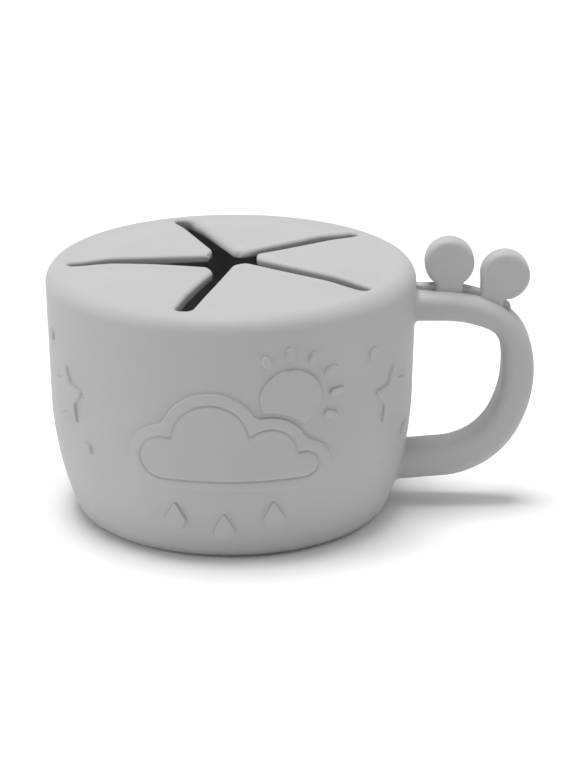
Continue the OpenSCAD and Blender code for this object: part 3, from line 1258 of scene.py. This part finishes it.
@dataclass
class Lid:
    """The soft lid: a rim with its shoulder and plug ring, and five tongues between the slits.

    The rim's piece ends at `border_r`, and the tongues' pieces begin there. A tongue's top falls by up to
    `edge_deepest` at its edges and its underside rises by `edge_under`. It is thicker than the rim by the
    first of `thicker` at its tip, and grows by the second over `thicker_over`. Its broad part rises over
    `dome_reach`.

    Its first row is where it is `tip_width` wide, looked for up to `search_stop` from the ends of the
    slits. Its edge columns draw together where it is narrower than `full_width`.
    """

    silicone: bpy.types.Material
    rim_r: float
    top_z: float
    seam_z: float
    plug_foot: float
    lid_t: float
    turns: tuple[float, ...]
    root_at: float
    border_r: float = 40.5
    wall: float = 2.6
    plug_gap: float = 0.8
    plug_wall: float = 2.0
    bead_out: float = 0.39
    bead_rise: float = 0.6
    bead_h: float = 2.0
    foot_rounds: tuple[float, float] = (0.5, 0.4)
    bead_round: float = 0.3
    hollow_round: float = 0.1
    ledge_round: float = 0.3
    seam_round: float = 0.02
    above_shoulder: float = 0.1
    small_steps: int = 2
    round_steps: int = 4
    foot_steps: int = 5
    shoulder_steps: int = 28
    slit_margin: float = 5.5
    edge_deepest: float = 1.9
    edge_under: float = 0.4
    edge_root: float = 0.9
    edge_blend: float = 6.0
    thicker: tuple[float, float] = (0.15, 0.85)
    thicker_over: float = 28.0
    tongues: tuple[Tongue, ...] = (
        Tongue(Sag((1.1, 0.5), (0.7, 0.7), 1.8)),
        Tongue(Sag((1.0, 0.85), (0.5, 0.4), 2.0), tip_r=4.9, sides=(1.5, 2.6), edges=(0.9, 2.8)),
        Tongue(Sag((0.75, 1.05), (0.1, 0.6), 1.9), tip_r=5.2, tip_rounds=(5.0, 0.9), sides=(1.75, 1.5)),
        Tongue(Sag((0.72, 0.65), (-1.5, -1.1), 2.6), tip_r=5.5, tip_rounds=(0.9, 4.0), sides=(1.5, 2.05)),
        Tongue(Sag((0.25, 0.8), (0.7, 0.6), 1.8), tip_r=5.4, sides=(2.0, 1.5)))
    dome_reach: float = 12.0
    bend_before: float = 0.3
    bend_after: float = 4.2
    columns: int = 288
    tip_width: float = 0.4
    tip_depth: float = 2.0
    full_width: float = 6.0
    search_stop: float = 10.0
    search_steps: int = 2000
    tip_steps: int = 12
    body_steps: int = 45
    ending_steps: int = 12
    edge_steps: int = 6
    middle_steps: int = 28

    def rim(self) -> bpy.types.Object:
        """The rim: one rounded outline of the plug, bead, shoulder and top, turned about Z.

        Returns:
            The piece.
        """
        plug_out = self.rim_r - self.wall - self.plug_gap
        plug_in = plug_out - self.plug_wall
        bead_r, bead_z = plug_out + self.bead_out, self.plug_foot + self.bead_rise
        under = self.top_z - self.lid_t
        bead_top = self.plug_foot + self.bead_h
        profile = rounded_polygon([
            (plug_in, self.plug_foot, self.foot_rounds[0], self.foot_steps),
            (plug_out, self.plug_foot, self.foot_rounds[1], self.foot_steps),
            (plug_out, bead_z, self.hollow_round, self.small_steps),
            (bead_r, bead_z + self.bead_rise, self.bead_round, self.round_steps),
            (bead_r, bead_top, self.bead_round, self.round_steps),
            (plug_out, bead_top + self.bead_rise, self.hollow_round, self.small_steps),
            (plug_out, self.seam_z, self.ledge_round, self.round_steps),
            (self.rim_r, self.seam_z, self.seam_round, self.small_steps),
            (self.rim_r, self.top_z, self.top_z - self.seam_z - self.above_shoulder, self.shoulder_steps),
            (self.border_r, self.top_z, 0.0, 0),
            (self.border_r, under, 0.0, 0),
            (plug_in, under, self.ledge_round, self.round_steps)])
        surface = closed_ring(revolved(profile, self.columns))
        return dressed(surface.add_to_scene("lid_rim", self.silicone), Body.LID, Slot.LID, "lid_ring")

    @property
    def slit_end(self) -> float:
        """Radius at which the slits end."""
        return self.rim_r - self.slit_margin

    @property
    def half_span(self) -> float:
        """Angle from a tongue's middle line to the middle line of a slit, in radians."""
        return math.pi / len(self.turns)

    def rows(self, shape: Tongue) -> np.ndarray:
        """Radii of a tongue's rows, close together at its tip and round the ends of the slits.

        The first is where its two sides are `tip_width` apart.

        Args:
            shape: the tongue's shape.

        Returns:
            The radii, from the tip to the lid's border.
        """
        end, half_w = self.slit_end, max(shape.sides)
        probe = np.linspace(shape.tip_r, end - self.search_stop, self.search_steps)
        width = sum(self.half_turn(shape, probe, side) for side in (0, 1)) * probe
        rounding = self.tip_depth * (1 - np.cos(quarter(self.tip_steps)))
        tip = probe[np.argmax(width > self.tip_width)] + rounding
        body = np.linspace(tip[-1], end - half_w, self.body_steps + 1)[1:]
        ending = end - half_w + half_w * np.sin(quarter(self.ending_steps))[1:]
        fading = end + self.edge_root * (1 - np.cos(quarter(self.edge_steps)))[1:]
        return np.concatenate([tip, body, ending, fading, [self.border_r]])

    def inset(self, shape: Tongue, radius: np.ndarray, turn: np.ndarray, share: np.ndarray) -> np.ndarray:
        """Distance from a tongue's edge, in from the slits and from the round tip.

        Each slit is a bar with a round end, so its distance is that to its middle line less the distance of
        the tongue's side from it. The tip's distance and the slit's are joined by a round corner.

        Args:
            shape: the tongue's shape.
            radius: radii of the points.
            turn: their turns from the tongue's middle line, in radians.
            share: 0 on the clockwise side, 1 on the anticlockwise side.

        Returns:
            The distances, in an array of the same shape.
        """
        half_w = between(shape.sides, share)
        away = self.half_span - np.abs(turn)
        past = np.maximum(radius * np.cos(away) - (self.slit_end - half_w), 0)
        slit = np.hypot(radius * np.sin(away), past) - half_w
        c = between(shape.tip_rounds, share)
        a, b = np.maximum(c - slit, 0), np.maximum(c - (radius - shape.tip_r), 0)
        return np.where((a > 0) & (b > 0), c - np.hypot(a, b), np.minimum(slit, radius - shape.tip_r))

    def half_turn(self, shape: Tongue, radius: np.ndarray, side: int) -> np.ndarray:
        """How far a tongue reaches to one side of its middle line.

        A row meets the slit's straight side, drawn back at the tip's round corner, or the slit's round end.

        Args:
            shape: the tongue's shape.
            radius: radii of the rows.
            side: 0 for the clockwise side and 1 for the anticlockwise one.

        Returns:
            The angle at each radius, in radians.
        """
        half_w, c = shape.sides[side], shape.tip_rounds[side]
        end = self.slit_end - half_w
        drawn_in = c - np.sqrt(np.maximum(c**2 - np.maximum(c - (radius - shape.tip_r), 0) ** 2, 0))
        straight = np.arcsin(np.clip((half_w + drawn_in) / radius, 0, 1))
        cosine = (radius**2 + end**2 - half_w**2) / (2 * radius * end)
        round_end = np.arccos(np.clip(cosine, -1, 1))
        gap = np.where(radius < end, straight, np.where(radius < self.slit_end - 1e-9, round_end, 0.0))
        return self.half_span - gap

    def lift(self, shape: Tongue, radius: np.ndarray, turn: np.ndarray) -> np.ndarray:
        """Height that a tongue's sag adds, which is nothing from the ends of the slits outwards.

        Args:
            shape: the tongue's shape.
            radius: radii of the points.
            turn: their turns from the tongue's middle line, in radians.

        Returns:
            The heights, in an array of the same shape.
        """
        sag = shape.sag
        share = (turn / self.half_span + 1) / 2
        inward = self.slit_end - radius
        reach = np.clip(inward / (self.slit_end - shape.tip_r), 0, 1)
        dome = between(sag.dome, share) * smooth_step(inward / self.dome_reach)
        return dome + between(sag.tip, share) * reach**sag.power

    def across(self, shape: Tongue, radius: np.ndarray) -> np.ndarray:
        """Turns of a tongue's columns, close together along both of its sides.

        Args:
            shape: the tongue's shape.
            radius: radii of its rows, as a (rows, 1) array.

        Returns:
            A (rows, columns) array of radians from its middle line, from the clockwise side to the other.
        """
        near = (1 - np.cos(quarter(self.edge_steps)))[None, :]
        halves = [self.half_turn(shape, radius, side) for side in (0, 1)]
        span = np.minimum(1.0, (halves[0] + halves[1]) * radius / self.full_width)
        margins = [edge * near / radius * span for edge in shape.edges]
        first, last = margins[0] - halves[0], (halves[1] - margins[1])[:, ::-1]
        share = np.linspace(0, 1, self.middle_steps + 1)[None, 1:-1]
        middle = first[:, -1:] + (last[:, :1] - first[:, -1:]) * share
        return np.concatenate([first, middle, last], axis=1)

    def edge_width(self, shape: Tongue, radius: np.ndarray, share: np.ndarray) -> np.ndarray:
        """Width of the rounding along a tongue's top, evened out at its tip and at the ends of the slits.

        Args:
            shape: the tongue's shape.
            radius: radii of the points.
            share: 0 on the clockwise side, 1 on the anticlockwise side.

        Returns:
            The widths, in an array of the same shape.
        """
        mean = (shape.edges[0] + shape.edges[1]) / 2
        from_tip = smooth_step((radius - shape.tip_r) / self.edge_blend)
        from_root = smooth_step((self.slit_end - radius) / self.edge_blend)
        width = mean + (between(shape.edges, share) - mean) * from_tip
        return self.edge_root + (width - self.edge_root) * from_root

    def faces(self, shape: Tongue) -> tuple[np.ndarray, np.ndarray]:
        """A tongue's top and underside, as it faces +X.

        Both are grids of radius and turn, rounded towards every edge, and lifted or sunk as soft silicone
        is. The tongue thickens a little from its tip to its root.

        Args:
            shape: the tongue's shape.

        Returns:
            Two (rows, columns, 3) grids.
        """
        rows = self.rows(shape)[:, None]
        turn = self.across(shape, rows)
        share = smooth_step((turn - turn[:, :1]) / (turn[:, -1:] - turn[:, :1]))
        radius = np.broadcast_to(rows, turn.shape)
        inset = np.maximum(self.inset(shape, radius, turn, share), 0)
        width = self.edge_width(shape, radius, share)
        rising = np.clip((radius - shape.tip_r) / self.thicker_over, 0, 1)
        thick = self.lid_t + self.thicker[0] + self.thicker[1] * rising
        over = self.top_z - rounded_edge(inset, np.minimum(width, self.edge_deepest), width)
        below = self.top_z - thick + rounded_edge(inset, self.edge_under, self.edge_under)
        lift = self.lift(shape, radius, turn)
        return polar(radius, turn, over + lift), polar(radius, turn, below + lift)

    def tongue(self, number: int) -> bpy.types.Object:
        """One of the five tongues.

        Args:
            number: 1 to 5, anticlockwise from the handle.

        Returns:
            The tongue.
        """
        facing = self.turns[number - 1]
        top, under = self.faces(self.tongues[number - 1])
        surface = closed_slab(turned(top, facing), turned(under, facing))
        piece = surface.add_to_scene(f"lid_tongue_{number}", self.silicone)
        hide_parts(f"flap_{number}")
        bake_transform(piece)
        log.info("%s: %d points, bends from lid to flap_%d", piece.name, len(piece.data.vertices), number)
        return piece

    def build(self) -> None:
        """Makes the rim and the five tongues."""
        self.rim()
        for number in range(1, len(self.turns) + 1):
            self.tongue(number)


# Finish, studio and camera

# Places of a Mix node's first value and of its output, for each kind of value
MIX_SOCKETS = {"RGBA": (6, 2), "FLOAT": (2, 0)}


@dataclass(frozen=True)
class Silicone:
    """Matt silicone rubber, coloured all through.

    The colour drifts a little over centimetres, the gloss a little over millimetres, and a fine grain from
    the mould and a faint unevenness stand on the surface as bump.
    """

    name: str
    colour: tuple[float, float, float] = (0.5, 0.505, 0.502)
    drift: float = 0.015
    drift_scale: float = 45.0
    gloss_scale: float = 420.0
    roughness: tuple[float, float] = (0.5, 0.6)
    grain_scale: float = 3600.0
    grain_height: float = 0.000012
    waver_scale: float = 160.0
    waver_height: float = 0.00003
    noise_span: tuple[float, float] = (0.3, 0.7)
    drift_detail: float = 3.0
    fine_detail: float = 2.0
    sheen: float = 0.08
    sheen_roughness: float = 0.5
    ior: float = 1.41

    def shade(self, factor: float) -> tuple[float, float, float, float]:
        """The colour, lighter or darker by a factor."""
        r, g, b = self.colour
        return r * factor, g * factor, b * factor, 1.0

    def material(self) -> bpy.types.Material:
        """Builds the node material.

        Returns:
            The material, whose noises all read the piece's own coordinates.
        """
        material = bpy.data.materials.new(self.name)
        material.use_nodes = True
        tree = material.node_tree
        nodes, link = tree.nodes, tree.links.new
        surface = nodes["Principled BSDF"]
        surface.inputs["IOR"].default_value = self.ior
        surface.inputs["Sheen Weight"].default_value = self.sheen
        surface.inputs["Sheen Roughness"].default_value = self.sheen_roughness
        place = nodes.new("ShaderNodeTexCoord").outputs["Object"]

        def noise(scale: float, detail: float) -> bpy.types.NodeSocket:
            """A noise over the piece's own coordinates.

            Args:
                scale: features in a metre.
                detail: how many finer layers it has.

            Returns:
                Its output, from 0 to 1.
            """
            node = nodes.new("ShaderNodeTexNoise")
            node.inputs["Scale"].default_value = scale
            node.inputs["Detail"].default_value = detail
            link(place, node.inputs["Vector"])
            return node.outputs["Fac"]

        tint = nodes.new("ShaderNodeValToRGB")
        for stop, position, factor in zip(
                tint.color_ramp.elements, self.noise_span, (1 - self.drift, 1 + self.drift)):
            stop.position = position
            stop.color = self.shade(factor)
        link(noise(self.drift_scale, self.drift_detail), tint.inputs["Fac"])
        link(tint.outputs["Color"], surface.inputs["Base Color"])
        gloss = nodes.new("ShaderNodeMapRange")
        gloss.inputs["From Min"].default_value, gloss.inputs["From Max"].default_value = self.noise_span
        gloss.inputs["To Min"].default_value, gloss.inputs["To Max"].default_value = self.roughness
        link(noise(self.gloss_scale, self.fine_detail), gloss.inputs["Value"])
        link(gloss.outputs["Result"], surface.inputs["Roughness"])
        waver, grain = nodes.new("ShaderNodeBump"), nodes.new("ShaderNodeBump")
        for bump, scale, height in ((waver, self.waver_scale, self.waver_height),
                                    (grain, self.grain_scale, self.grain_height)):
            bump.inputs["Strength"].default_value = 1.0
            bump.inputs["Distance"].default_value = height
            link(noise(scale, self.fine_detail), bump.inputs["Height"])
        link(waver.outputs["Normal"], grain.inputs["Normal"])
        link(grain.outputs["Normal"], surface.inputs["Normal"])
        return material


@dataclass(frozen=True)
class Lamp:
    """A square area light that faces a point on the object."""

    name: str
    at: tuple[float, float, float]
    size: float
    watts: float
    aim: tuple[float, float, float] = (0.0, 0.0, 0.03)

    def place(self) -> bpy.types.Object:
        """Adds the light, in metres.

        Returns:
            The light's object.
        """
        data = bpy.data.lights.new(self.name, "AREA")
        data.size = self.size
        data.energy = self.watts
        lamp = bpy.data.objects.new(self.name, data)
        lamp.location = self.at
        lamp.rotation_euler = (Vector(self.aim) - Vector(self.at)).to_track_quat("-Z", "Y").to_euler()
        bpy.context.scene.collection.objects.link(lamp)
        return lamp


def mixed(tree: bpy.types.NodeTree, kind: str, factor: bpy.types.NodeSocket,
          first: float | tuple[float, ...], second: float | tuple[float, ...]) -> bpy.types.NodeSocket:
    """A Mix node, whose value is the first where the factor is 0 and the second where it is 1.

    Args:
        tree: the node tree to add it to.
        kind: "RGBA" for colours or "FLOAT" for numbers.
        factor: the output that drives it.
        first: its first value.
        second: its second value.

    Returns:
        Its output.
    """
    node = tree.nodes.new("ShaderNodeMix")
    node.data_type = kind
    value_at, output_at = MIX_SOCKETS[kind]
    node.inputs[value_at].default_value = first
    node.inputs[value_at + 1].default_value = second
    tree.links.new(factor, node.inputs["Factor"])
    return node.outputs[output_at]


@dataclass(frozen=True)
class Studio:
    """A pale floor, a white surround and soft light from above, mostly from the left."""

    floor_half: float = 1.5
    floor_tone: float = 0.95
    floor_seen: float = 1.08
    floor_roughness: float = 0.9
    sky: float = 0.27
    lamps: tuple[Lamp, ...] = (
        Lamp("overhead", (-0.3, 0.1, 4.0), 2.0, 122.0),
        Lamp("left", (-3.6, -0.6, 1.2), 1.6, 23.0),
        Lamp("right", (2.6, -0.6, 3.0), 1.8, 10.0),
        Lamp("back", (0.1, 2.6, 3.0), 1.8, 7.0))

    @staticmethod
    def seen_directly(tree: bpy.types.NodeTree) -> bpy.types.NodeSocket:
        """Tells rays that the camera sees from those that only light the object.

        Args:
            tree: the node tree to add it to.

        Returns:
            An output: 1 for a camera ray, be it straight, off gloss or through glass, and 0 for any other.
        """
        path = tree.nodes.new("ShaderNodeLightPath")
        total = path.outputs["Is Camera Ray"]
        for name in ("Is Glossy Ray", "Is Transmission Ray"):
            add = tree.nodes.new("ShaderNodeMath")
            add.operation = "MAXIMUM"
            tree.links.new(total, add.inputs[0])
            tree.links.new(path.outputs[name], add.inputs[1])
            total = add.outputs["Value"]
        return total

    def floor(self) -> None:
        """The floor: nearly white to the camera, though the object gets only a pale floor's light."""
        h = self.floor_half
        mesh = bpy.data.meshes.new("floor")
        mesh.from_pydata([(-h, -h, 0), (h, -h, 0), (h, h, 0), (-h, h, 0)], [], [(0, 1, 2, 3)])
        material = bpy.data.materials.new("pale_floor")
        material.use_nodes = True
        tree = material.node_tree
        surface = tree.nodes["Principled BSDF"]
        surface.inputs["Roughness"].default_value = self.floor_roughness
        surface.inputs["Specular IOR Level"].default_value = 0.0
        tones = [(tone,) * 3 + (1.0,) for tone in (self.floor_tone, self.floor_seen)]
        tree.links.new(mixed(tree, "RGBA", self.seen_directly(tree), *tones), surface.inputs["Base Color"])
        mesh.materials.append(material)
        floor = bpy.data.objects.new("floor", mesh)
        bpy.context.scene.collection.objects.link(floor)

    def surround(self) -> None:
        """The world: white where it is seen, and a softer light on the object."""
        world = bpy.data.worlds.new("surround")
        bpy.context.scene.world = world
        world.use_nodes = True
        tree = world.node_tree
        background = tree.nodes["Background"]
        background.inputs["Color"].default_value = (1.0, 1.0, 1.0, 1.0)
        strength = mixed(tree, "FLOAT", self.seen_directly(tree), self.sky, 1.0)
        tree.links.new(strength, background.inputs["Strength"])

    def build(self) -> None:
        """Sets up the floor, the surround and the lamps."""
        self.floor()
        self.surround()
        for lamp in self.lamps:
            lamp.place()
        bpy.context.scene.view_settings.view_transform = "Standard"


@dataclass(frozen=True)
class Viewpoint:
    """The camera, in metres, at the photograph's angle."""

    at: tuple[float, float, float] = (0.01433, -0.61304, 0.24935)
    pitch_down: float = 19.71
    focal_px: float = 2637.9
    long_side_px: int = 774
    sensor: float = 36.0
    clip: tuple[float, float] = (0.01, 20.0)

    def place(self) -> None:
        """Adds the camera and makes it the scene's. The sensor's width is the picture's long side."""
        data = bpy.data.cameras.new("camera")
        data.sensor_width = self.sensor
        data.lens = self.focal_px * self.sensor / self.long_side_px
        data.clip_start, data.clip_end = self.clip
        camera = bpy.data.objects.new("camera", data)
        camera.location = self.at
        camera.rotation_euler = (math.radians(90 - self.pitch_down), 0.0, 0.0)
        bpy.context.scene.collection.objects.link(camera)
        bpy.context.scene.camera = camera


def size_mm(node: str) -> tuple[np.ndarray, np.ndarray]:
    """Lowest and highest corner of a CAD node in millimetres."""
    low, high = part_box(node)
    return np.array(low) / MM, np.array(high) / MM


def main() -> None:
    """Builds the camera, the studio and each sub-assembly in order, from the frame's main sizes."""
    logging.basicConfig(level=logging.INFO, format="%(message)s")
    Viewpoint().place()
    Studio().build()
    cup_finish = Silicone("matt_cup_silicone").material()
    lid_finish = Silicone("matt_lid_silicone").material()
    lid_low, lid_high = size_mm("lid_ring")
    _, cup_high = size_mm("cup_shell")
    flap_low, _ = size_mm("flap_1")
    _, bar_high = size_mm("handle_loop")
    _, rail_high = size_mm("thumb_rail")
    hinges = [j for j in frame["joints"] if j["type"] == "hinge"]
    roots = [np.array(j["pos_m"]) / MM for j in hinges]
    rim_r, seam_z = lid_high[0], cup_high[2]

    cup = Cup(cup_finish, rim_r, seam_z)
    cup.build()
    handle = Handle(cup_finish, cup.outside, width=2 * bar_high[1], top_z=bar_high[2], rim_r=rim_r)
    handle.build()
    ThumbRail(cup_finish, handle, top_z=rail_high[2]).build()
    Lid(
        lid_finish, rim_r, lid_high[2], seam_z, lid_low[2], lid_high[2] - flap_low[2],
        turns=tuple(math.degrees(math.atan2(p[1], p[0])) for p in roots),
        root_at=float(np.hypot(roots[0][0], roots[0][1]))).build()


if __name__ == "__main__":
    main()
